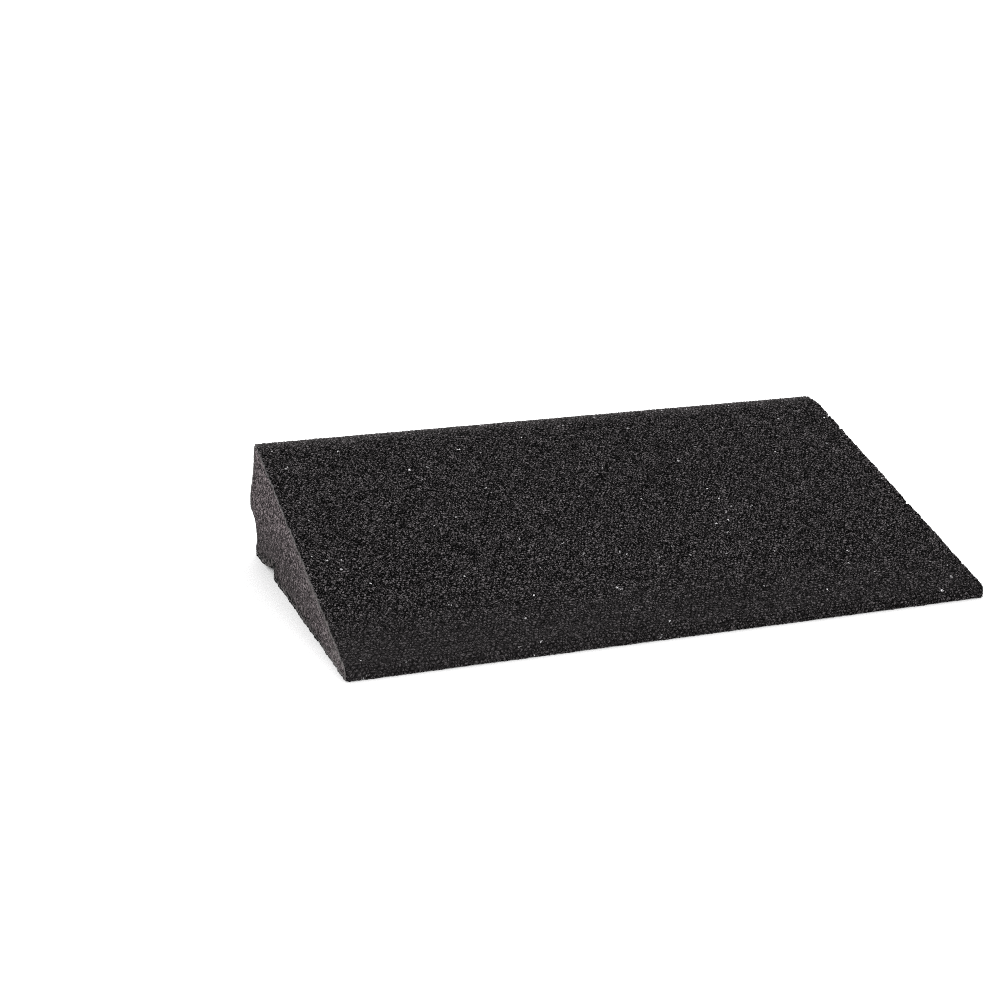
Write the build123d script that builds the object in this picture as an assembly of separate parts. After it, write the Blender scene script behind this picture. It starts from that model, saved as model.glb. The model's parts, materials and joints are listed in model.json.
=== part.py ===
from build123d import *
import math
import os

# A wedge-shaped sanding sponge: a foam core, coated on its four long faces with coarse
# black abrasive grain. Its two ends are cut through, so the foam shows there.
#
# Frame: +Z up, origin at the middle of the base. X runs along the length, the thin
# front lip faces -Y and the thick back faces +Y.

# Driving dimensions, in millimetres and degrees
LENGTH = 124.0
DEPTH = 73.0
BACK_HEIGHT = 24.5
BACK_LEAN = 8.3
LIP_HEIGHT = 2.5
CREST_RADIUS = 2.4
LIP_RADIUS = 1.3
FOOT_RADIUS = 0.95
CORNER_RADII = {
    "lip_foot": FOOT_RADIUS,
    "lip_crest": LIP_RADIUS,
    "back_crest": CREST_RADIUS,
    "back_foot": FOOT_RADIUS,
}

# The coat: a resin bond on the foam, and the abrasive grain held in it
BOND_THICKNESS = 0.2
GRIT_THICKNESS = 0.6
COAT_THICKNESS = BOND_THICKNESS + GRIT_THICKNESS

# A chip is missing from the foot of the -X end. It is highest near its front, and runs
# out towards the back.
CHIP_FRONT_Y = 19.7
CHIP_LENGTH = 8.5
CHIP_HEIGHT = 2.4
CHIP_REACH = 3.0
CHIP_TAPER = 15.0

FRONT_Y = -DEPTH / 2
BACK_Y = DEPTH / 2
END_X = LENGTH / 2
LEAN = math.radians(BACK_LEAN)


def back_y(z, inset):
    """The back face's y at height z, moved inwards by inset. Its rounded foot reaches BACK_Y."""
    foot_centre_y = BACK_Y - FOOT_RADIUS
    out_of_foot = (FOOT_RADIUS - inset) / math.cos(LEAN)
    return foot_centre_y + out_of_foot - (z - FOOT_RADIUS) * math.tan(LEAN)


def slope_angle():
    """The slope runs from the lip's top corner to a tangent on the rounded crest."""
    centre_z = BACK_HEIGHT - CREST_RADIUS
    across = back_y(centre_z, CREST_RADIUS) - FRONT_Y
    rise = centre_z - LIP_HEIGHT
    return math.atan2(rise, across) + math.asin(CREST_RADIUS / math.hypot(across, rise))


SLOPE = slope_angle()


def slope_z(y, inset):
    """The sloping face's height at y, once it has moved inwards by inset."""
    return LIP_HEIGHT + (y - FRONT_Y) * math.tan(SLOPE) - inset / math.cos(SLOPE)


def back_crest(inset):
    """Where the slope and the leaning back meet, both moved inwards by inset."""
    z = slope_z(back_y(0, inset), inset) / (1 + math.tan(LEAN) * math.tan(SLOPE))
    return back_y(z, inset), z


def section_corners(inset):
    """Sharp corners of the wedge's section, all four sides moved inwards by inset."""
    front = FRONT_Y + inset
    return {
        "lip_foot": (front, inset),
        "lip_crest": (front, slope_z(front, inset)),
        "back_crest": back_crest(inset),
        "back_foot": (back_y(inset, inset), inset),
    }


def filled_outline(points):
    return make_face(Polyline(*points, close=True))


def rounded_section(inset):
    """The wedge's section as a face, its corners rounded about the same centres as outside."""
    corners = section_corners(inset)
    face = filled_outline(corners.values())
    for name, (y, z) in corners.items():
        corner = face.vertices().sort_by_distance((y, z, 0))[0]
        face = fillet(corner, CORNER_RADII[name] - inset)
    return face


def rounding_centre(name):
    return section_corners(CORNER_RADII[name])[name]


def along_length(section):
    """A section drawn in Y and Z becomes a solid that runs the whole length."""
    return extrude(Plane.YZ * section, LENGTH / 2, both=True)


def coat_layer(start, end, outer_inset, inner_inset):
    """One face's share of the layer between two insets, mitred at both corners."""
    sharp = section_corners(0)
    share = filled_outline(
        [sharp[start], sharp[end], rounding_centre(end), rounding_centre(start)]
    )
    ring = rounded_section(outer_inset) - rounded_section(inner_inset)
    return along_length(ring & share)


def end_chip():
    """The missing chip: a flat triangle in the end's plane that tapers off inwards."""
    triangle = filled_outline(
        [
            (CHIP_FRONT_Y, -CHIP_HEIGHT),
            (CHIP_FRONT_Y, CHIP_HEIGHT),
            (CHIP_FRONT_Y + CHIP_LENGTH, 0),
            (CHIP_FRONT_Y + CHIP_LENGTH, -CHIP_HEIGHT),
        ]
    )
    mouth = Plane.YZ.offset(-END_X) * triangle
    return extrude(mouth, CHIP_REACH, taper=CHIP_TAPER)


COATED_FACES = {
    "slope": ("lip_crest", "back_crest"),
    "back": ("back_crest", "back_foot"),
    "base": ("back_foot", "lip_foot"),
    "lip": ("lip_foot", "lip_crest"),
}


def build_nodes():
    """Every separate piece, by the name of its node."""
    nodes = {"foam_core": along_length(rounded_section(COAT_THICKNESS))}
    for face, (start, end) in COATED_FACES.items():
        nodes[f"{face}_bond"] = coat_layer(start, end, GRIT_THICKNESS, COAT_THICKNESS)
        nodes[f"{face}_grit"] = coat_layer(start, end, 0, GRIT_THICKNESS)
    for name in ("foam_core", "base_bond", "base_grit"):
        nodes[name] = nodes[name] - end_chip()
    return nodes


def main():
    os.makedirs("parts", exist_ok=True)
    for name, shape in build_nodes().items():
        shape.label = name
        export_step(shape, f"parts/{name}.step")


main()
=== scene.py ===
import json
import math

import bmesh
import bpy
import numpy as np
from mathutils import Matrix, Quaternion, Vector


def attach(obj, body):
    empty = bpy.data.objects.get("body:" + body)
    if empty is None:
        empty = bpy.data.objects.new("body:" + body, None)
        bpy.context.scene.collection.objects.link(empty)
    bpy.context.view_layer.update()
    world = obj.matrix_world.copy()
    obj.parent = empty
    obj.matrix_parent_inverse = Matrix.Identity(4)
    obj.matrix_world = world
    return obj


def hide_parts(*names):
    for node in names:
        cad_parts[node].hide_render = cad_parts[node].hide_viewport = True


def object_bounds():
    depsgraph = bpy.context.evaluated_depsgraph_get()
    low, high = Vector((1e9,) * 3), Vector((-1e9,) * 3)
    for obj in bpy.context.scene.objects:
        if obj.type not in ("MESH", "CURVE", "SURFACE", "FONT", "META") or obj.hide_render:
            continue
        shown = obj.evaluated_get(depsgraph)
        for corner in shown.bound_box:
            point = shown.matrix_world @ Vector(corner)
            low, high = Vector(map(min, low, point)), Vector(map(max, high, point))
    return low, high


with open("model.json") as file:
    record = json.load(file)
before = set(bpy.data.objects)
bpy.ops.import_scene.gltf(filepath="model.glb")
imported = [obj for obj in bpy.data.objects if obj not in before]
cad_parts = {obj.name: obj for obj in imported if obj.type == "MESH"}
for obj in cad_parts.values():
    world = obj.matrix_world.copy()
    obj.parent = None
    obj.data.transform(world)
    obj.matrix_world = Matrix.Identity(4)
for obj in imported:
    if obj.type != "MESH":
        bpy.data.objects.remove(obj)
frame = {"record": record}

# A wedge-shaped sanding sponge: a grey foam core whose four long faces are coated with coarse
# black abrasive grain. The grain is one continuous layer of separate faceted grains that runs
# round the wedge's section, and the foam's open cells show at the two cut ends.
#
# Lengths are in millimetres until a mesh is made. X runs along the block. A point of the coat
# is (x, s, h): s is the distance round the section, from the middle of the lip's top corner up
# the slope, down the back and along the base, and h is the height above the nominal surface.
MM = 0.001
cad_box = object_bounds()
LOW_X = cad_box[0].x / MM
HIGH_X = cad_box[1].x / MM
FRONT_Y = cad_box[0].y / MM
BACK_Y = cad_box[1].y / MM
LENGTH = HIGH_X - LOW_X
DEPTH = BACK_Y - FRONT_Y
HEIGHT = cad_box[1].z / MM
SEED = 4177

# The section's sides in order, each with the radius of the corner that it starts from
CORNER_RADII = {"slope": 1.3, "back": 2.4, "base": 0.95, "lip": 0.95}
SIDES = tuple(CORNER_RADII)

# The coat's layers
GRIT_THICKNESS = 0.6
BOND_THICKNESS = 0.2
COAT_THICKNESS = GRIT_THICKNESS + BOND_THICKNESS


# ---------------------------------------------------------------- camera

# The camera stands to the left of the lip and looks down on the slope
CAMERA_PLACE = (-127.6, -298.5, 111.2)
CAMERA_AZIMUTH = math.radians(-19.505)
CAMERA_ELEVATION = math.radians(16.472)
CAMERA_ROLL = math.radians(-0.079)
CAMERA_LENS = 62.6
CAMERA_SENSOR = 36
NEAREST_SEEN = 0.01


def make_camera():
    """The scene's camera, turned to look along its azimuth and elevation."""
    data = bpy.data.cameras.new("camera")
    data.lens = CAMERA_LENS
    data.sensor_width = CAMERA_SENSOR
    data.clip_start = NEAREST_SEEN
    camera = bpy.data.objects.new("camera", data)
    bpy.context.scene.collection.objects.link(camera)
    level = math.cos(CAMERA_ELEVATION)
    east = math.sin(CAMERA_AZIMUTH) * level
    north = -math.cos(CAMERA_AZIMUTH) * level
    back = Vector((east, north, math.sin(CAMERA_ELEVATION)))
    camera.rotation_mode = "QUATERNION"
    facing = (-back).to_track_quat("-Z", "Y")
    camera.rotation_quaternion = facing @ Quaternion((0, 0, 1), CAMERA_ROLL)
    camera.location = Vector(CAMERA_PLACE) * MM
    bpy.context.scene.camera = camera


# ---------------------------------------------------------------- the section

def side_planes():
    """Each side of the section as a point on it and its outward normal, in Y and Z."""
    planes = {}
    for side in ("slope", "back", "base"):
        mount = next(m for m in frame["record"]["mounts"] if m["name"] == f"{side}_face")
        normal = np.array(mount["axis"][1:])
        planes[side] = (np.array(mount["pos_m"][1:]) / MM, normal / np.linalg.norm(normal))
    planes["lip"] = (np.array([FRONT_Y, 0.0]), np.array([-1.0, 0.0]))
    return planes


def crossing(plane_a, plane_b, inset):
    """Where two sides meet, once both have moved inwards by inset."""
    normals = np.array([plane_a[1], plane_b[1]])
    offsets = [point @ normal - inset for point, normal in (plane_a, plane_b)]
    return np.linalg.solve(normals, offsets)


class Section:
    """The wedge's rounded section as a closed line of arcs and straight runs.

    A run holds its kind and where it starts. An arc also has its centre, first angle and
    radius, and a line has its first point and its outward normal.
    """

    def __init__(self, planes):
        self.runs = []
        self.middles = {}
        s = None
        for k, side in enumerate(SIDES):
            following = SIDES[(k + 1) % len(SIDES)]
            before = planes[SIDES[k - 1]]
            here = planes[side]
            radius = CORNER_RADII[side]
            turn = math.acos(before[1] @ here[1])
            if s is None:
                s = -radius * turn / 2
            self.middles[side] = s + radius * turn / 2
            centre = crossing(before, here, radius)
            first_angle = math.atan2(before[1][1], before[1][0])
            self.runs.append(("arc", s, centre, first_angle, radius))
            s += radius * turn
            begin = centre + here[1] * radius
            end_centre = crossing(here, planes[following], CORNER_RADII[following])
            end = end_centre + here[1] * CORNER_RADII[following]
            self.runs.append(("line", s, begin, here[1], None))
            s += np.linalg.norm(end - begin)
        self.first = self.runs[0][1]
        self.length = s - self.first

    def at(self, s, height):
        """The y and z of points at distance s round the section and height above it."""
        s = (np.asarray(s, float) - self.first) % self.length + self.first
        points = np.zeros((len(s), 2))
        normals = np.zeros((len(s), 2))
        for kind, start, place, direction, radius in self.runs:
            mine = s >= start
            along = (s[mine] - start)[:, None]
            if kind == "arc":
                angle = direction - along[:, 0] / radius
                normals[mine] = np.column_stack([np.cos(angle), np.sin(angle)])
                points[mine] = place + normals[mine] * radius
            else:
                normals[mine] = direction
                points[mine] = place + along * np.array([direction[1], -direction[0]])
        return points + normals * np.broadcast_to(height, len(s))[:, None]

    def share(self, side):
        """Where a side's share of the section begins and ends, both in mid-corner."""
        following = SIDES.index(side) + 1
        end = self.middles[SIDES[following]] if following < len(SIDES) else self.length
        return self.middles[side], end


section_planes = side_planes()
section = Section(section_planes)


# ---------------------------------------------------------------- unevenness of the ends

# The -X end bulges outwards about halfway up the thick back, and is hollow below that. Each
# fades out over its own reach below and above its middle, and towards the front.
BULGE = 0.85
BULGE_Z = 10.8
BULGE_ABOVE = 7.4
BULGE_BELOW = 2.35
HOLLOW = 0.4
HOLLOW_Z = 3.2
HOLLOW_ABOVE = 3.9
HOLLOW_BELOW = 1.8
BULGE_DEPTH = 15.0

# The crest is worn back at the +X end
CREST_WEAR = 1.25
CREST_WEAR_REACH = 2.6

# A chip is missing from the foot of the -X end, deepest at its steep front wall. Its top is
# kept just above zero, because heights are divided by it.
CHIP_FRONT_Y = 19.7
CHIP_LENGTH = 8.5
CHIP_HEIGHT = 2.4
CHIP_REACH = 3.0
LOWEST_CHIP_TOP = 1e-3

# The knife that cut the ends wandered a little, in waves that lean and differ between the ends
WANDER = 0.14
WANDER_PERIODS = (23.0, 9.5, 4.1)
WANDER_LEAN = 0.6
LOW_END_PHASE = 0.3
HIGH_END_PHASE = 2.1

# How far along the block the unevenness of an end is felt
END_FADE = 7.0


def lobe(distance, reach_below, reach_above):
    """A smooth bump of height 1 about distance 0, with a reach of its own on either side."""
    reach = np.where(distance < 0, reach_below, reach_above)
    return np.exp(-((distance / reach) ** 2))


def wander(y, z, phase):
    """How far the knife strayed inwards."""
    waves = 0
    for k, period in enumerate(WANDER_PERIODS):
        waves = waves + np.sin(2 * math.pi * (y + WANDER_LEAN * z) / period + phase + k)
    return WANDER * waves / len(WANDER_PERIODS)


def low_end_shift(y, z):
    """How far the -X end's cut lies inside its plane."""
    near_back = np.exp(-(((BACK_Y - y) / BULGE_DEPTH) ** 2))
    bulge = BULGE * lobe(z - BULGE_Z, BULGE_BELOW, BULGE_ABOVE)
    hollow = HOLLOW * lobe(z - HOLLOW_Z, HOLLOW_BELOW, HOLLOW_ABOVE)
    return (hollow - bulge) * near_back + wander(y, z, LOW_END_PHASE)


def high_end_shift(y, z):
    """How far the +X end's cut lies inside its plane."""
    crest_y, crest_z = section.at([section.middles["back"]], 0)[0]
    from_crest = np.hypot(y - crest_y, z - crest_z)
    wear = CREST_WEAR * np.exp(-((from_crest / CREST_WEAR_REACH) ** 2))
    return wear + wander(y, z, HIGH_END_PHASE)


def shift_ends(x, y, z):
    """Moves points near the two ends with the cut, less and less along the block."""
    near_low = np.exp(-(((x - LOW_X) / END_FADE) ** 2))
    near_high = np.exp(-(((HIGH_X - x) / END_FADE) ** 2))
    return x + near_low * low_end_shift(y, z) - near_high * high_end_shift(y, z)


def chip_reach(y, z):
    """How far the chip reaches in from the -X end."""
    share = np.clip((y - CHIP_FRONT_Y) / CHIP_LENGTH, 0, 1)
    top = CHIP_HEIGHT * (1 - share) + LOWEST_CHIP_TOP
    inside = (y > CHIP_FRONT_Y) & (share < 1) & (z < top)
    roundness = np.sqrt(np.clip(1 - (z / top) ** 2, 0, 1))
    return np.where(inside, CHIP_REACH * roundness * np.sqrt(1 - share), 0.0)


# The knife dragged near the lip and on the front half of the slope's edge, and left them paler
# and smoother. A painted highlight gives the upper half of the back's edge the same pale colour.
# A depth is measured in from the side, and a fade is a span of Y, or of Z on the back.
NOSE_SMEAR = 0.9
NOSE_SMEAR_FADE = (-30.0, -20.0)
SLOPE_SMEAR_DEPTH = 2.2
SLOPE_SMEAR_FADE = (-10.0, 10.0)
BACK_HIGHLIGHT_DEPTH = 0.8
BACK_HIGHLIGHT_FADE = (7.0, 11.0)

# Painted shade in dark clumps round the chip, and low on the ends except near the lip
CHIP_SHADE_REACH = 1.6
FOOT_SHADE_HEIGHTS = (1.1, 1.9, 12.0)
FOOT_SHADE_SHARES = (1.0, 0.4, 0.0)
FOOT_SHADE_FADE = (-28.0, -10.0)

# Painted shade: the foam's crown is lowered, so that it looks darker, low on the thick half of
# the ends
FOAM_LOW_SHADE = 0.32
FOAM_LOW_SHADE_HEIGHTS = (6.0, 13.0)
FOAM_LOW_SHADE_FADE = (-14.0, 8.0)


def depth_inside(side, y, z):
    """How far points of the section lie in from a side."""
    point, normal = section_planes[side]
    return (point[0] - y) * normal[0] + (point[1] - z) * normal[1]


def smear_and_highlight(y, z):
    """How smeared the cut end is, with the painted highlight on the back's edge, from 0 to 1."""
    on_slope = np.interp(y, SLOPE_SMEAR_FADE, (1, 0))
    on_slope = on_slope * np.exp(-((depth_inside("slope", y, z) / SLOPE_SMEAR_DEPTH) ** 2))
    on_nose = NOSE_SMEAR * np.interp(y, NOSE_SMEAR_FADE, (1, 0))
    # Painted highlight along the upper half of the back's edge
    back_highlight = np.interp(z, BACK_HIGHLIGHT_FADE, (0, 1))
    back_highlight = back_highlight * np.exp(-((depth_inside("back", y, z) / BACK_HIGHLIGHT_DEPTH) ** 4))
    return np.maximum.reduce([on_slope, on_nose, back_highlight])


def foot_shade(y, z):
    """How much painted shade darkens the foot of an end, from 0 to 1."""
    low = np.interp(z, FOOT_SHADE_HEIGHTS, FOOT_SHADE_SHARES)
    return low * np.interp(y, FOOT_SHADE_FADE, (0, 1))


def foam_low_shade(y, z):
    """How much painted shade is taken off the foam's crown low on the ends."""
    return FOAM_LOW_SHADE * np.interp(z, FOAM_LOW_SHADE_HEIGHTS, (1, 0)) * np.interp(y, FOAM_LOW_SHADE_FADE, (0, 1))


def chip_shade(y, z):
    """How much painted shade darkens the end round the chip, from 0 to 1."""
    share = np.clip((y - CHIP_FRONT_Y) / CHIP_LENGTH, 0, 1)
    beside_chip = (y > CHIP_FRONT_Y - CHIP_SHADE_REACH) & (y < CHIP_FRONT_Y + CHIP_LENGTH)
    above_chip = z - CHIP_HEIGHT * (1 - share)
    return np.where(beside_chip & (above_chip < CHIP_SHADE_REACH), 1.0, 0.0)


# ---------------------------------------------------------------- cells in a lattice

# Rows and columns carried on past each border
EXTRA = 2

# Each cell's own corners and facets
INNER = 3
FACETS_PER_CELL = 10

# How many times steep facets are flattened
EASING_PASSES = 12


def repeated(values):
    """Values drawn for each row, carried on past the first and the last rows."""
    rows = len(values)
    return values[np.arange(-EXTRA, rows + EXTRA) % rows]


class Lattice:
    """Uneven hexagonal cells. Each has a small triangle inside, and nine facets round that.

    corners holds three inner corners for each cell, and then the outer corners that
    neighbours share. The pattern closes on itself after all the rows, an even number.
    jitter, a share of the pitch, moves each cell. reach says how far out its inner corners
    lie, as a share of the way from its middle to its outer corners.
    """

    def __init__(self, columns, rows, pitch, row_pitch, jitter, reach, rng):
        across = columns + 2 * EXTRA
        j, i = np.mgrid[-EXTRA : rows + EXTRA, -EXTRA : columns + EXTRA]
        odd = j % 2
        centres = np.stack([(i + odd / 2) * pitch, j * row_pitch], axis=-1)
        centres = centres + repeated(rng.uniform(-jitter, jitter, (rows, across, 2))) * pitch

        # An outer corner lies between three cells: two on a row, and one above or below
        r, c = np.mgrid[0 : rows + 2 * EXTRA - 1, 0 : across - 1]
        shift = odd[:-1, :-1]
        up = (centres[r, c] + centres[r, c + 1] + centres[r + 1, c + shift]) / 3
        down = (centres[r + 1, c] + centres[r + 1, c + 1] + centres[r, c + 1 - shift]) / 3
        outer = np.concatenate([up.reshape(-1, 2), down.reshape(-1, 2)])
        up_index = np.arange(up.shape[0] * up.shape[1]).reshape(r.shape)
        down_index = up_index + up_index.size

        r, c = np.mgrid[1 : rows + 2 * EXTRA - 1, 1 : across - 1]
        k = c - 1 + odd[1:-1, 1:-1]
        around = (
            up_index[r, c],
            down_index[r, k],
            up_index[r, c - 1],
            down_index[r - 1, c - 1],
            up_index[r - 1, k],
            down_index[r - 1, c],
        )
        ring = np.stack(around, axis=-1).reshape(-1, 6)
        turned = self.cell_values(rng.random((rows, across))) < 0.5
        ring[turned] = np.roll(ring[turned], -1, axis=1)
        share = self.cell_values(rng.uniform(*reach, (rows, across, INNER)))
        middle = outer[ring].mean(axis=1)[:, None]
        inner = middle + share[..., None] * (outer[ring[:, ::2]] - middle)

        self.cells = len(ring)
        self.corners = np.concatenate([inner.reshape(-1, 2), outer])
        self.facets = self.make_facets(ring + self.cells * INNER)
        self.shape = (rows, across)

    @staticmethod
    def cell_values(drawn):
        """Values drawn for every row and column, as one for each whole cell."""
        kept = repeated(drawn)[1:-1, 1:-1]
        return kept.reshape(-1, *kept.shape[2:])

    def outer_values(self, drawn_up, drawn_down):
        """Values drawn for every row and column, as one for each outer corner."""
        return np.concatenate([repeated(d)[:-1, :-1].reshape(-1) for d in (drawn_up, drawn_down)])

    def make_facets(self, ring):
        """Each cell's facets, as three corner numbers each."""
        inner = np.arange(self.cells * INNER).reshape(-1, INNER)
        facets = [inner]
        for k in range(INNER):
            here = inner[:, k]
            following = inner[:, (k + 1) % INNER]
            before, facing, after = (ring[:, (2 * k + step) % 6] for step in (-1, 0, 1))
            facets.append(np.column_stack([here, before, facing]))
            facets.append(np.column_stack([here, facing, after]))
            facets.append(np.column_stack([here, after, following]))
        return np.stack(facets, axis=1).reshape(-1, 3)


def ease_steep_facets(corners, heights, facets, steepest):
    """Flattens each facet that is steeper than allowed, a few times over."""
    heights = heights.copy()
    a, b, c = (corners[facets[:, k]] for k in range(3))
    ab = b - a
    ac = c - a
    area = ab[:, 0] * ac[:, 1] - ab[:, 1] * ac[:, 0]
    for _ in range(EASING_PASSES):
        ha, hb, hc = (heights[facets[:, k]] for k in range(3))
        rise_x = ((hb - ha) * ac[:, 1] - (hc - ha) * ab[:, 1]) / area
        rise_y = ((hc - ha) * ab[:, 0] - (hb - ha) * ac[:, 0]) / area
        slope = np.hypot(rise_x, rise_y)
        steep = slope > math.tan(steepest)
        touched = facets[steep]
        middle = heights[touched].mean(axis=1, keepdims=True)
        keep = (math.tan(steepest) / slope[steep])[:, None]
        wanted = middle + (heights[touched] - middle) * keep
        total = np.bincount(touched.ravel(), wanted.ravel(), len(heights))
        count = np.bincount(touched.ravel(), minlength=len(heights))
        heights = np.where(count > 0, total / np.maximum(count, 1), heights)
    return heights


# ---------------------------------------------------------------- meshes

# A plane that cuts a mesh takes corners this near as lying on it
CUT_TOLERANCE = 1e-4


def set_values(mesh, name, domain, values):
    """Adds a named value for each of the mesh's corners or faces."""
    layer = mesh.attributes.new(name, "FLOAT", domain)
    layer.data.foreach_set("value", np.asarray(values, np.float32))


def sheet_bmesh(places, facets, corner_values, facet_values):
    """A bmesh of triangles with named values on its corners and its facets."""
    mesh = bpy.data.meshes.new("sheet")
    mesh.from_pydata(places, [], facets)
    for name, values in corner_values.items():
        set_values(mesh, name, "POINT", values)
    for name, values in facet_values.items():
        set_values(mesh, name, "FACE", values)
    bm = bmesh.new()
    bm.from_mesh(mesh)
    bpy.data.meshes.remove(mesh)
    return bm


def cut_off(bm, place, direction):
    """Cuts the mesh with a plane, and keeps what lies behind it."""
    everything = bm.verts[:] + bm.edges[:] + bm.faces[:]
    bmesh.ops.bisect_plane(
        bm,
        geom=everything,
        dist=CUT_TOLERANCE,
        plane_co=place,
        plane_no=direction,
        clear_outer=True,
    )


def drop_loose_corners(bm):
    """Removes the corners that belong to no face."""
    loose = [v for v in bm.verts if not v.link_faces]
    bmesh.ops.delete(bm, geom=loose, context="VERTS")


def give_thickness(bm, depth):
    """Closes the sheet with walls and a flat underside, and returns their faces."""
    border = [e for e in bm.edges if e.is_boundary]
    made = bmesh.ops.extrude_edge_only(bm, edges=border)["geom"]
    lowered = {g for g in made if isinstance(g, bmesh.types.BMVert)}
    for vert in lowered:
        vert.co.z = -depth
    foot = [
        g for g in made if isinstance(g, bmesh.types.BMEdge) and lowered.issuperset(g.verts)
    ]
    made += bmesh.ops.triangle_fill(bm, edges=foot, normal=(0, 0, -1))["geom"]
    bmesh.ops.recalc_face_normals(bm, faces=bm.faces[:])
    return [g for g in made if isinstance(g, bmesh.types.BMFace)]


def read_corners(mesh):
    """The mesh's corners, as one row of three numbers each."""
    flat = np.zeros(len(mesh.vertices) * 3)
    mesh.vertices.foreach_get("co", flat)
    return flat.reshape(-1, 3)


def finished_piece(name, mesh, x, y, z, material, node):
    """Puts the mesh's corners in place, in metres, and ties the piece to the frame."""
    mesh.vertices.foreach_set("co", (np.column_stack([x, y, z]) * MM).ravel())
    mesh.update()
    mesh.materials.append(material)
    piece = bpy.data.objects.new(name, mesh)
    bpy.context.scene.collection.objects.link(piece)
    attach(piece, "root")
    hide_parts(node)
    return piece


# ---------------------------------------------------------------- the grain

# The lattice of grains, and how steep a facet may be
GRAIN_PITCH = 0.75
GRAIN_JITTER = 0.33
GRAIN_REACH = (0.35, 0.68)
STEEPEST_FACET = math.radians(47)

# The grain's relief, and its heights and depths as shares of that. Some gaps are part filled.
GRAIN_RELIEF = 0.2
DEEPEST_SUNK = 0.32
SUNK_POWER = 1.6
GRAIN_TILT = 0.2
HIGHEST_CROWN = 0.06
GAP_DEPTHS = (0.85, 1.3)
FILLED_GAPS = 0.2
FILLED_DEPTH = 0.45

# The rows of grains are bent by a few waves, so that they don't line up
STIR = 0.17
STIR_WAVES = 10
STIR_PERIOD = 4.5

# A facet's tone, from 0 to 1, is partly its grain's and mostly its own. A sunk grain is
# shaded as if it lay higher, by SUNK_LIFT of its depth.
LOWEST_TONE = 0.11
GRAIN_TONE = 0.08
GRAIN_FACET_TONE = 0.7
SUNK_LIFT = 0.7

# A few grains carry painted glints: white specks in the facets whose own tone is highest
GLINT_SHARE = 0.011
GLINT_FACETS = 0.7

# Wear: the lip and the slope's front are flattened, most at -X. A painted highlight lightens the
# grain along the crest.
WORN_LIP_WIDTH = 20.0
WORN_LIP_SHARES = (1.0, 0.35)
WORN_LIP_RELIEF = 0.6
CREST_HIGHLIGHT_OFFSET = -0.6
CREST_HIGHLIGHT_BEFORE = 2.4
CREST_HIGHLIGHT_AFTER = 1.2

# Grain fills out this share of the rounded corner between the base and the lip
SQUARE_FOOT = 0.85

# Some grains came away from the last row at each end, and all that the chip took with it
LOST_AT_ENDS = 0.06
END_ROW = 0.4
CHIPPED_BELOW = 1.0


def stir(corners, rng):
    """Bends the rows of grains, so that they don't line up. It repeats round the section."""
    moved = corners.copy()
    for _ in range(STIR_WAVES):
        along, round_section = rng.uniform(-1, 1, 2) / STIR_PERIOD
        round_section = round(round_section * section.length) / section.length
        turns = corners @ (along, round_section) + rng.random()
        moved += STIR * np.sin(2 * math.pi * turns)[:, None] * rng.uniform(-1, 1, 2)
    return moved


def lip_wear(x, s):
    """How worn the grain is: all on the lip, less up the slope, and more towards -X."""
    s = np.where(s > section.middles["lip"], s - section.length, s)
    above = np.clip(s / WORN_LIP_WIDTH, 0, 1)
    share = np.interp(x, (LOW_X, HIGH_X), WORN_LIP_SHARES)
    return share * (1 - above * above * (3 - 2 * above))


def foot_squareness(s):
    """How far the grain stands proud of the rounded corner between the base and the lip."""
    from_side = math.pi / 4 - np.abs(s - section.middles["lip"]) / CORNER_RADII["lip"]
    to_sharp = CORNER_RADII["lip"] * (1 / np.cos(np.clip(from_side, 0, None)) - 1)
    return SQUARE_FOOT * to_sharp


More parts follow.
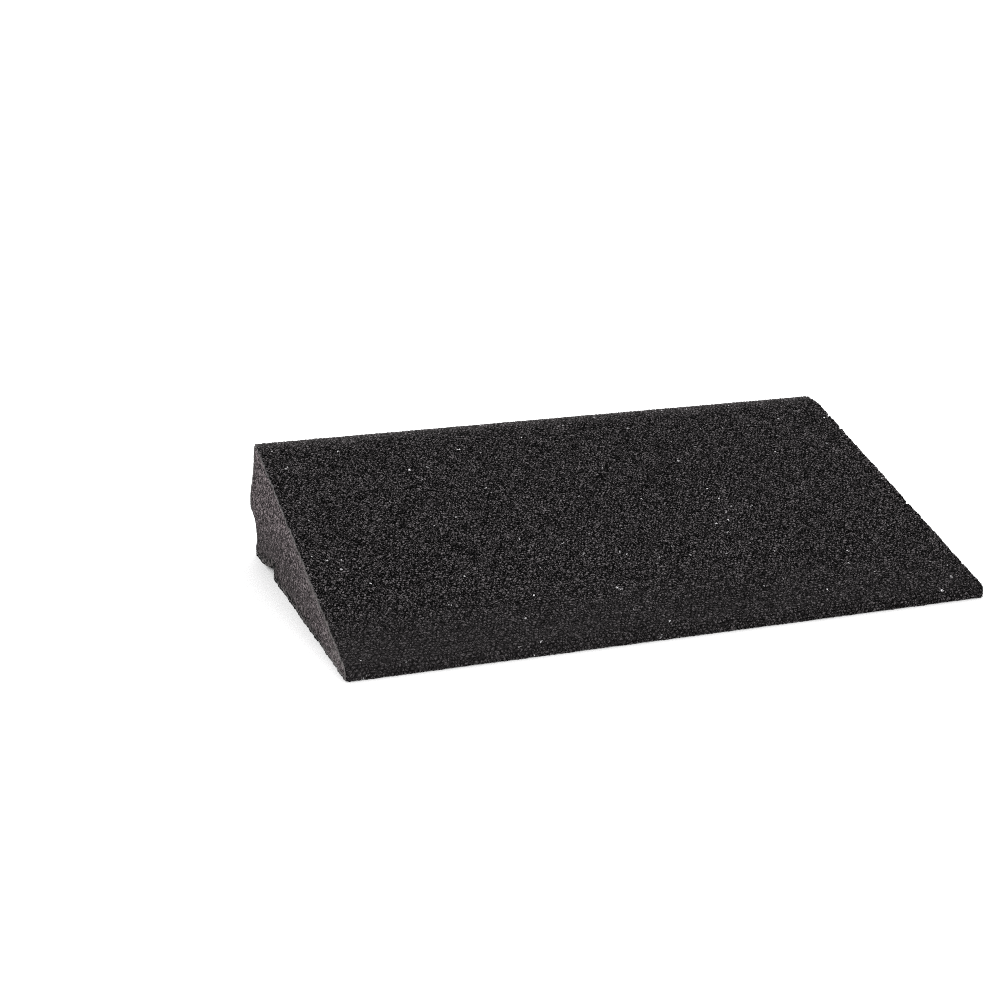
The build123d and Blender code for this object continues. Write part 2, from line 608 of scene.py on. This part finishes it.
def make_grain_sheet():
    """The whole coat of grain as one sheet in (x, s, h), with values for its material."""
    rng = np.random.default_rng(SEED)
    columns = round(LENGTH / GRAIN_PITCH)
    rows = 2 * round(section.length / (GRAIN_PITCH * math.sqrt(3) / 2) / 2)
    pitch = LENGTH / columns
    row_pitch = section.length / rows
    lattice = Lattice(columns, rows, pitch, row_pitch, GRAIN_JITTER, GRAIN_REACH, rng)
    shape = lattice.shape
    corners = stir(lattice.corners, np.random.default_rng(SEED + 3)) + np.array([LOW_X, 0])

    sunk = lattice.cell_values(rng.random(shape)) ** SUNK_POWER * DEEPEST_SUNK
    tilt = lattice.cell_values(rng.uniform(-GRAIN_TILT, GRAIN_TILT, (*shape, INNER)))
    crowns = np.minimum(tilt - sunk[:, None], HIGHEST_CROWN).reshape(-1)
    lift = np.repeat(sunk * SUNK_LIFT, INNER)
    gaps = -lattice.outer_values(rng.uniform(*GAP_DEPTHS, shape), rng.uniform(*GAP_DEPTHS, shape))
    filled = lattice.outer_values(rng.random(shape), rng.random(shape)) < FILLED_GAPS
    gaps[filled] *= FILLED_DEPTH
    level = np.concatenate([crowns, gaps])
    wear = lip_wear(*corners.T)
    relief = GRAIN_RELIEF * (1 - (1 - WORN_LIP_RELIEF) * wear)
    heights = ease_steep_facets(corners, level * relief, lattice.facets, STEEPEST_FACET)

    grain_tone = np.repeat(lattice.cell_values(rng.random(shape)), FACETS_PER_CELL)
    facet_tone = rng.random(len(lattice.facets))
    bright = np.repeat(lattice.cell_values(rng.random(shape)) < GLINT_SHARE, FACETS_PER_CELL)
    # The painted crest highlight is centred a little before the crest's middle
    highlight_middle = section.middles["back"] + CREST_HIGHLIGHT_OFFSET
    return {
        "corners": corners,
        "heights": heights,
        "facets": lattice.facets,
        "crown": np.clip(1 + level + np.append(lift, np.zeros(len(gaps))), 0, 1),
        "wear": wear,
        "crest_highlight": lobe(corners[:, 1] - highlight_middle, CREST_HIGHLIGHT_BEFORE, CREST_HIGHLIGHT_AFTER),
        "tone": LOWEST_TONE + GRAIN_TONE * grain_tone + GRAIN_FACET_TONE * facet_tone,
        # Painted glints
        "glint": bright * np.clip((facet_tone - GLINT_FACETS) / (1 - GLINT_FACETS), 0, 1) ** 2,
        "cell": np.repeat(np.arange(lattice.cells), FACETS_PER_CELL),
        "cells": lattice.cells,
    }


def lost_facets(sheet, middles):
    """Facets of the grains that came away at the cut ends, and at the chip."""
    rng = np.random.default_rng(SEED + 1)
    cell = sheet["cell"]
    x, s = (np.bincount(cell, part, sheet["cells"]) / FACETS_PER_CELL for part in middles.T)
    at_end = np.abs(x) > HIGH_X - END_ROW * GRAIN_PITCH
    came_away = at_end & (rng.random(len(x)) < LOST_AT_ENDS)
    y, z = section.at(s, 0).T
    chipped = (x < LOW_X + chip_reach(y, z)) & (z < CHIPPED_BELOW)
    return (came_away | chipped)[cell]


def make_grain(side, sheet, material):
    """One side's share of the grain, as a closed layer that replaces its CAD node."""
    start, end = section.share(side)
    middles = sheet["corners"][sheet["facets"]].mean(axis=1)
    margin = 2 * GRAIN_PITCH
    wanted = (middles[:, 1] > start - margin) & (middles[:, 1] < end + margin)
    wanted &= ~lost_facets(sheet, middles)
    used, facets = np.unique(sheet["facets"][wanted], return_inverse=True)
    places = np.column_stack([sheet["corners"][used], sheet["heights"][used]])
    bm = sheet_bmesh(
        places,
        facets.reshape(-1, 3),
        {name: sheet[name][used] for name in ("crown", "wear", "crest_highlight")},
        {name: sheet[name][wanted] for name in ("tone", "glint")},
    )
    cut_off(bm, (LOW_X, 0, 0), (-1, 0, 0))
    cut_off(bm, (HIGH_X, 0, 0), (1, 0, 0))
    cut_off(bm, (0, start, 0), (0, -1, 0))
    cut_off(bm, (0, end, 0), (0, 1, 0))
    drop_loose_corners(bm)
    cut = bm.faces.layers.float.new("cut")
    for face in give_thickness(bm, GRIT_THICKNESS):
        face[cut] = 1
    mesh = bpy.data.meshes.new(f"{side}_grain")
    bm.to_mesh(mesh)
    bm.free()
    x, s, h = read_corners(mesh).T
    # The grain's top is pushed out in full, and its underside stays
    h += foot_squareness(s) * (1 + h / GRIT_THICKNESS)
    y, z = section.at(s, h).T
    set_values(mesh, "smear_and_highlight", "POINT", smear_and_highlight(y, z))
    set_values(mesh, "foot_and_chip_shade", "POINT", foot_shade(y, z))
    x = shift_ends(x, y, z)
    finished_piece(f"{side}_grain", mesh, x, y, z, material, f"{side}_grit")


# ---------------------------------------------------------------- the resin bond

# How far apart the bar's corners lie round the section
BOND_STEP = 0.5


def make_bond(side, material):
    """A side's resin layer: a thin bar as long as the block, whose ends follow the cuts."""
    start, end = section.share(side)
    steps = round((end - start) / BOND_STEP)
    s = np.linspace(start, end, steps + 1)
    outer = section.at(s, -GRIT_THICKNESS)
    inner = section.at(s, -COAT_THICKNESS)
    loop = np.concatenate([outer, inner[::-1]])
    y, z = loop.T
    low_x = shift_ends(np.full(len(y), LOW_X), y, z) + chip_reach(y, z)
    high_x = shift_ends(np.full(len(y), HIGH_X), y, z)
    count = len(loop)
    faces = [(k, (k + 1) % count, count + (k + 1) % count, count + k) for k in range(count)]
    for k in range(steps):
        rung = (k, count - 1 - k, count - 2 - k, k + 1)
        faces.append(rung)
        faces.append(tuple(n + count for n in reversed(rung)))
    mesh = bpy.data.meshes.new(f"{side}_resin")
    mesh.from_pydata(np.zeros((2 * count, 3)), [], faces)
    mesh.validate()
    set_values(mesh, "smear_and_highlight", "POINT", np.tile(smear_and_highlight(y, z), 2))
    set_values(mesh, "foot_and_chip_shade", "POINT", np.tile(foot_shade(y, z), 2))
    x = np.concatenate([low_x, high_x])
    y = np.tile(y, 2)
    z = np.tile(z, 2)
    finished_piece(f"{side}_resin", mesh, x, y, z, material, f"{side}_bond")


# ---------------------------------------------------------------- the foam

# The lattice of cells, and how steep a facet may be
CELL_PITCH = 0.46
CELL_ROW_PITCH = 0.39
CELL_JITTER = 0.34
CELL_REACH = (0.4, 0.82)
STEEPEST_CELL_WALL = math.radians(60)

# The cells' depth, the share of cells that are deep, and the depths of the cells' floors and
# of the struts between them, as shares of the cells' depth
CELL_DEPTH = 0.3
DEEP_CELLS = 0.4
DEEP_FLOORS = (0.75, 1.2)
SHALLOW_FLOORS = (0.05, 0.4)
FLOOR_TILT = 0.08
DEEPEST_STRUT = 0.16

# A facet's tone is mostly its cell's
CELL_TONE = 0.7
CELL_FACET_TONE = 0.3

# Cuts that trim the cells to a rounded corner
ARC_CUTS = 4


def foam_tangents():
    """Lines that the foam's section touches: a point and an outward normal for each."""
    starts = [run[1] for run in section.runs] + [section.first + section.length]
    tangents = []
    for k, (kind, start, _, direction, radius) in enumerate(section.runs):
        if kind == "line":
            tangents.append((start, direction))
            continue
        for step in range(1, ARC_CUTS):
            along = (starts[k + 1] - start) * step / ARC_CUTS
            angle = direction - along / radius
            tangents.append((start + along, (math.cos(angle), math.sin(angle))))
    return [(section.at([s], -COAT_THICKNESS)[0], normal) for s, normal in tangents]


def cut_cells(rng):
    """The foam's section filled with open cells, laid flat, with their relief as a value."""
    columns = round(DEPTH / CELL_PITCH)
    rows = 2 * round(HEIGHT / CELL_ROW_PITCH / 2)
    pitches = (DEPTH / columns, HEIGHT / rows)
    lattice = Lattice(columns, rows, *pitches, CELL_JITTER, CELL_REACH, rng)
    shape = lattice.shape
    corners = lattice.corners + np.array([FRONT_Y, 0])
    deep = lattice.cell_values(rng.random(shape)) < DEEP_CELLS
    count = len(deep)
    floors = np.where(deep, rng.uniform(*DEEP_FLOORS, count), rng.uniform(*SHALLOW_FLOORS, count))
    floors = floors[:, None] + rng.uniform(-FLOOR_TILT, FLOOR_TILT, (count, INNER))
    struts = lattice.outer_values(
        rng.uniform(0, DEEPEST_STRUT, shape), rng.uniform(0, DEEPEST_STRUT, shape)
    )
    level = -np.concatenate([floors.reshape(-1), struts])
    heights = level * CELL_DEPTH
    relief = ease_steep_facets(corners, heights, lattice.facets, STEEPEST_CELL_WALL)
    cell_tone = np.repeat(lattice.cell_values(rng.random(shape)), FACETS_PER_CELL)
    bm = sheet_bmesh(
        np.column_stack([corners, np.zeros(len(corners))]),
        lattice.facets,
        {"crown": 1 + level, "relief": relief},
        {"tone": CELL_TONE * cell_tone + CELL_FACET_TONE * rng.random(len(lattice.facets))},
    )
    for (y, z), (normal_y, normal_z) in foam_tangents():
        cut_off(bm, (y, z, 0), (normal_y, normal_z, 0))
    drop_loose_corners(bm)
    return bm


def make_foam(material):
    """The foam core: open cells at its two cut ends, and plain sides under the coat."""
    bm = cut_cells(np.random.default_rng(SEED + 2))
    bm.verts.index_update()
    crown_layer = bm.verts.layers.float["crown"]
    relief_layer = bm.verts.layers.float["relief"]
    tone_layer = bm.faces.layers.float["tone"]
    y, z = np.array([v.co[:2] for v in bm.verts]).T
    relief = np.array([v[relief_layer] for v in bm.verts])
    crown = np.array([v[crown_layer] for v in bm.verts])
    tone = np.array([f[tone_layer] for f in bm.faces])
    count = len(y)
    low_faces = [[v.index for v in reversed(f.verts)] for f in bm.faces]
    high_faces = [[v.index + count for v in f.verts] for f in bm.faces]
    border = [
        (loop.vert.index, loop.link_loop_next.vert.index)
        for face in bm.faces
        for loop in face.loops
        if loop.edge.is_boundary
    ]
    sides = [(a + count, a, b, b + count) for a, b in border]
    bm.free()

    mesh = bpy.data.meshes.new("foam_body")
    mesh.from_pydata(np.zeros((2 * count, 3)), [], low_faces + high_faces + sides)
    # The crown, less the painted shade low on the ends
    set_values(mesh, "crown", "POINT", np.tile(crown - foam_low_shade(y, z), 2))
    set_values(mesh, "smear_and_highlight", "POINT", np.tile(smear_and_highlight(y, z), 2))
    # Painted shade low on the -X end and round the chip
    low_end_shade = np.maximum(foot_shade(y, z), chip_shade(y, z))
    set_values(mesh, "foot_and_chip_shade", "POINT", np.concatenate([low_end_shade, foot_shade(y, z)]))
    set_values(mesh, "tone", "FACE", np.concatenate([tone, tone, np.zeros(len(sides))]))
    low_x = shift_ends(np.full(count, LOW_X), y, z) + chip_reach(y, z) - relief
    high_x = shift_ends(np.full(count, HIGH_X), y, z) + relief
    x = np.concatenate([low_x, high_x])
    y = np.tile(y, 2)
    z = np.tile(z, 2)
    piece = finished_piece("foam_body", mesh, x, y, z, material, "foam_core")


# ---------------------------------------------------------------- materials

# Colours are linear red, green and blue. Lengths inside the materials are in metres.
# Painted shade: the gaps between grains are coloured this black
GAP_SHADE_BLACK = (0.0002, 0.0002, 0.0002)
GRAIN_GREYS = [
    (0.0, GAP_SHADE_BLACK),
    (0.3, (0.0010, 0.0009, 0.0009)),
    (0.5, (0.0048, 0.0044, 0.0046)),
    (0.75, (0.0420, 0.0386, 0.0398)),
    (1.0, (0.1500, 0.1380, 0.1424)),
]
WORN_GREY = (0.0210, 0.0193, 0.0199)
# Painted highlight, added to the grain along the crest
CREST_HIGHLIGHT_GREY = (0.036, 0.034, 0.034)
# Painted glint white
GLINT_WHITE = (0.7, 0.69, 0.7)
SLICED_GREYS = [(0.44, (0.002, 0.0018, 0.0019)), (0.64, (0.15, 0.144, 0.146))]
FOAM_GREYS = [
    (0.0, (0.0020, 0.0016, 0.0017)),
    (0.3, (0.0205, 0.0166, 0.0176)),
    (0.6, (0.0780, 0.0650, 0.0685)),
    (1.0, (0.2350, 0.2020, 0.2090)),
]
PIT_SHADE_BROWN = (0.009, 0.0072, 0.0076)
RESIN_BROWNS = [(0.3, (0.008, 0.0065, 0.006)), (0.7, (0.050, 0.042, 0.040))]
# Pale smear, also used for the painted highlight on the back's edge
SMEAR_AND_HIGHLIGHT_GREYS = [(0.38, (0.057, 0.0525, 0.0515)), (0.62, (0.156, 0.143, 0.140))]
# Painted shade, in dark clumps
SHADE_CLUMP_GREYS = [(0.48, (0.0003, 0.0003, 0.0003)), (0.58, (0.089, 0.081, 0.080))]
FLOOR_GREY = (0.9, 0.9, 0.9)


def new_material(name):
    """A material with its node tree and its shader node."""
    material = bpy.data.materials.new(name)
    material.use_nodes = True
    return material, material.node_tree, material.node_tree.nodes["Principled BSDF"]


def add_node(tree, kind, settings=None, **inputs):
    """A node with its inputs set: an output socket is linked, and anything else is a value.

    An input is given by its name, or by its number, as in _0.
    """
    node = tree.nodes.new(kind)
    for name, value in (settings or {}).items():
        setattr(node, name, value)
    for name, value in inputs.items():
        socket = node.inputs[int(name[1:])] if name[0] == "_" else node.inputs[name]
        if isinstance(value, bpy.types.NodeSocket):
            tree.links.new(value, socket)
        else:
            socket.default_value = value
    return node


def attribute(tree, name):
    """A value that was stored on the mesh's corners or faces."""
    return add_node(tree, "ShaderNodeAttribute", {"attribute_name": name}).outputs["Fac"]


def math_node(tree, operation, a, b):
    """The result of a sum on two values."""
    return add_node(tree, "ShaderNodeMath", {"operation": operation}, _0=a, _1=b).outputs[0]


def ramp(tree, fac, stops):
    """A colour ramp. stops are (position, colour) pairs."""
    node = add_node(tree, "ShaderNodeValToRGB", _0=fac)
    elements = node.color_ramp.elements
    while len(elements) < len(stops):
        elements.new(0.5)
    for element, (position, colour) in zip(elements, stops):
        element.position = position
        element.color = (*colour, 1)
    return node.outputs["Color"]


def smooth_range(tree, value, low, high, to_low=0.0, to_high=1.0):
    """Eases from to_low to to_high, while the value goes from low to high."""
    settings = {"interpolation_type": "SMOOTHSTEP"}
    node = add_node(
        tree, "ShaderNodeMapRange", settings, _0=value, _1=low, _2=high, _3=to_low, _4=to_high
    )
    return node.outputs[0]


def mix_colour(tree, fac, a, b, blend="MIX"):
    """Mixes colour b into colour a, by fac. A plain colour is three numbers."""
    a, b = ((*c, 1) if isinstance(c, tuple) else c for c in (a, b))
    settings = {"data_type": "RGBA", "blend_type": blend}
    return add_node(tree, "ShaderNodeMix", settings, _0=fac, _6=a, _7=b).outputs[2]


def noise(tree, scale, detail=2.0, roughness=0.5, squeeze=(1, 1, 1)):
    """Noise over the object, with scale in features per metre."""
    place = add_node(tree, "ShaderNodeTexCoord").outputs["Object"]
    where = add_node(tree, "ShaderNodeMapping", Vector=place, Scale=squeeze).outputs[0]
    inputs = {"Vector": where, "Scale": scale, "Detail": detail, "Roughness": roughness}
    return add_node(tree, "ShaderNodeTexNoise", **inputs).outputs["Fac"]


def bump(tree, height, strength, distance):
    """Small unevenness of the surface, as deep as the distance."""
    inputs = {"Height": height, "Strength": strength, "Distance": distance}
    return add_node(tree, "ShaderNodeBump", **inputs).outputs["Normal"]


def mottling(tree, scale, amount, squeeze=(1, 1, 1)):
    """Fine noise, and the same about zero, to add to a facet's tone."""
    fine = noise(tree, scale, detail=2, roughness=0.6, squeeze=squeeze)
    about_zero = math_node(tree, "SUBTRACT", fine, 0.5)
    return fine, math_node(tree, "MULTIPLY", about_zero, amount)


def share_of(tree, name, amount):
    """A value stored on the mesh, times an amount."""
    return math_node(tree, "MULTIPLY", attribute(tree, name), amount)


def smear_highlight_and_shade(tree, colour):
    """The knife's pale patchy smear with a painted highlight on the back's edge, and painted
    shade in dark clumps low on a cut end and round the chip.
    """
    streaks = noise(tree, scale=4000, detail=2, roughness=0.6)
    pale = ramp(tree, streaks, SMEAR_AND_HIGHLIGHT_GREYS)
    broad = noise(tree, scale=600)
    patches = smooth_range(tree, broad, low=0.38, high=0.62, to_low=0.15, to_high=0.75)
    smear_and_highlight_share = math_node(tree, "MULTIPLY", attribute(tree, "smear_and_highlight"), patches)
    colour = mix_colour(tree, smear_and_highlight_share, colour, pale)
    # Painted shade in dark clumps, low on the ends and round the chip
    clumps = noise(tree, scale=1300, detail=3, roughness=0.7)
    shade_clumps = ramp(tree, clumps, SHADE_CLUMP_GREYS)
    return mix_colour(tree, attribute(tree, "foot_and_chip_shade"), colour, shade_clumps)


def grain_material():
    """Charcoal grain: each facet has its own grey, painted shade makes the gaps black, a few
    facets carry painted glints, and a painted highlight lightens the crest.
    """
    material, tree, shader = new_material("abrasive grain")
    fine, mottle = mottling(tree, scale=5000, amount=2.7)
    tone = math_node(tree, "ADD", attribute(tree, "tone"), mottle)
    grey = ramp(tree, tone, GRAIN_GREYS)
    grey = mix_colour(tree, share_of(tree, "wear", 0.6), grey, WORN_GREY)
    # Painted highlight along the crest
    grey = mix_colour(tree, attribute(tree, "crest_highlight"), grey, CREST_HIGHLIGHT_GREY, "ADD")
    # Painted glints on a few grains
    grey = mix_colour(tree, attribute(tree, "glint"), grey, GLINT_WHITE)
    # Painted shade: the grain fades to black towards the gaps, by its crown
    lit = smooth_range(tree, attribute(tree, "crown"), low=0.1, high=0.7)
    lifted = math_node(tree, "MAXIMUM", lit, share_of(tree, "wear", 0.35))
    # The painted crest highlight also lifts the painted shade of the gaps
    lifted = math_node(tree, "MAXIMUM", lifted, share_of(tree, "crest_highlight", 0.4))
    colour = mix_colour(tree, lifted, GAP_SHADE_BLACK, grey)
    sliced = noise(tree, scale=1500, detail=3, roughness=0.7)
    rim = ramp(tree, sliced, SLICED_GREYS)
    colour = mix_colour(tree, attribute(tree, "cut"), colour, smear_highlight_and_shade(tree, rim))
    tree.links.new(colour, shader.inputs["Base Color"])
    shader.inputs["Specular IOR Level"].default_value = 0.01
    dullness = smooth_range(tree, fine, low=0.3, high=0.7, to_low=0.45, to_high=0.8)
    tree.links.new(dullness, shader.inputs["Roughness"])
    rough = bump(tree, fine, strength=0.5, distance=0.00004)
    tree.links.new(rough, shader.inputs["Normal"])
    return material


def foam_material():
    """Brownish grey open-cell foam, with painted shade in its pits."""
    material, tree, shader = new_material("cut foam")
    fine, mottle = mottling(tree, scale=3600, amount=2.8, squeeze=(1, 0.5, 1))
    tone = math_node(tree, "ADD", attribute(tree, "tone"), mottle)
    light = ramp(tree, tone, FOAM_GREYS)
    # Painted shade: the foam fades to dark brown in its pits, by its crown
    shallow = math_node(tree, "ADD", attribute(tree, "crown"), mottle)
    lit = smooth_range(tree, shallow, low=0.1, high=1.0)
    colour = mix_colour(tree, lit, PIT_SHADE_BROWN, light)
    tree.links.new(smear_highlight_and_shade(tree, colour), shader.inputs["Base Color"])
    shader.inputs["Specular IOR Level"].default_value = 0.1
    shader.inputs["Roughness"].default_value = 0.85
    rough = bump(tree, fine, strength=0.4, distance=0.00006)
    tree.links.new(rough, shader.inputs["Normal"])
    return material


def resin_material():
    """Dark cured resin, brownish where it is thin, with a dull shine."""
    material, tree, shader = new_material("bond resin")
    cloudy = noise(tree, scale=900, detail=4, roughness=0.6)
    colour = ramp(tree, cloudy, RESIN_BROWNS)
    tree.links.new(smear_highlight_and_shade(tree, colour), shader.inputs["Base Color"])
    shader.inputs["Specular IOR Level"].default_value = 0.15
    dullness = smooth_range(tree, cloudy, low=0.3, high=0.7, to_low=0.35, to_high=0.6)
    tree.links.new(dullness, shader.inputs["Roughness"])
    rough = bump(tree, cloudy, strength=0.3, distance=0.00005)
    tree.links.new(rough, shader.inputs["Normal"])
    return material


def floor_material():
    """A plain pale grey."""
    material, _, shader = new_material("pale floor")
    shader.inputs["Base Color"].default_value = (*FLOOR_GREY, 1)
    shader.inputs["Roughness"].default_value = 0.9
    shader.inputs["Specular IOR Level"].default_value = 0.1
    return material


# ---------------------------------------------------------------- floor and light

# A wide disc a hair's breadth under the block. Lengths here are in metres.
FLOOR_RADIUS = 4.0
FLOOR_SEGMENTS = 64
FLOOR_GAP = 0.00002

# Each soft lamp's place, width and power
LAMPS = {
    "key": ((-0.75, -0.45, 0.65), 0.6, 3),
    "top": ((0.15, 0.7, 0.9), 0.7, 3),
}
LAMP_AIM = (0, 0, 0.01)
SKY_STRENGTH = 1.35


def make_floor():
    """The floor that the block stands on. It belongs to the stage and not to the object."""
    bm = bmesh.new()
    bmesh.ops.create_circle(bm, cap_ends=True, segments=FLOOR_SEGMENTS, radius=FLOOR_RADIUS)
    mesh = bpy.data.meshes.new("floor")
    bm.to_mesh(mesh)
    bm.free()
    mesh.materials.append(floor_material())
    floor = bpy.data.objects.new("floor", mesh)
    floor.location.z = cad_box[0].z - FLOOR_GAP
    bpy.context.scene.collection.objects.link(floor)


def add_lamp(name, place, width, power):
    """A round soft lamp, turned towards the block."""
    data = bpy.data.lights.new(name, "AREA")
    data.shape = "DISK"
    data.size = width
    data.energy = power
    light = bpy.data.objects.new(name, data)
    light.location = place
    light.rotation_mode = "QUATERNION"
    light.rotation_quaternion = (Vector(LAMP_AIM) - Vector(place)).to_track_quat("-Z", "Y")
    bpy.context.scene.collection.objects.link(light)


def make_light():
    """An even white sky and the soft lamps."""
    world = bpy.data.worlds.new("studio")
    world.use_nodes = True
    background = world.node_tree.nodes["Background"]
    background.inputs["Color"].default_value = (1, 1, 1, 1)
    background.inputs["Strength"].default_value = SKY_STRENGTH
    bpy.context.scene.world = world
    for name, (place, width, power) in LAMPS.items():
        add_lamp(name, place, width, power)
    bpy.context.scene.view_settings.view_transform = "Standard"
    bpy.context.scene.cycles.use_denoising = False
    bpy.context.scene.cycles.filter_width = 1.0


make_camera()
grain_sheet = make_grain_sheet()
grain = grain_material()
resin = resin_material()
for side in SIDES:
    make_grain(side, grain_sheet, grain)
    make_bond(side, resin)
make_foam(foam_material())
make_floor()
make_light()
